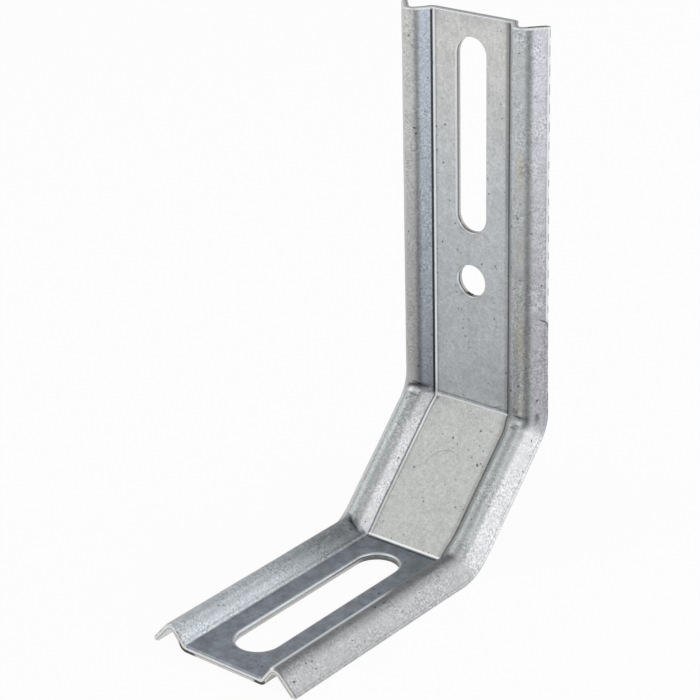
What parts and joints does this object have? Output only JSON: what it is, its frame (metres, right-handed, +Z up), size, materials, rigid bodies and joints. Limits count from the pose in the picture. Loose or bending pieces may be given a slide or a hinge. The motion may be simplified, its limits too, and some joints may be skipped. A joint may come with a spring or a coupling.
{
  "type": "angle bracket",
  "caption": "Pressed and folded steel angle bracket with ridged sides, slotted in both legs and pierced with a round fixing hole.",
  "frame": {"origin": "centre of the round hole, on the back plane of the upright, which lies on the wall", "axes": "+X across the strip, -Y out from the wall along the lower leg, +Z up the upright"},
  "size_m": [0.0426, 0.0953, 0.1283],
  "materials": {
    "galvanised_steel": "hot-dip galvanised, satin grey with a faint mottled spangle"
  },
  "bodies": {
    "root": {"angle_bracket": "galvanised_steel"}
  },
  "joints": []
}
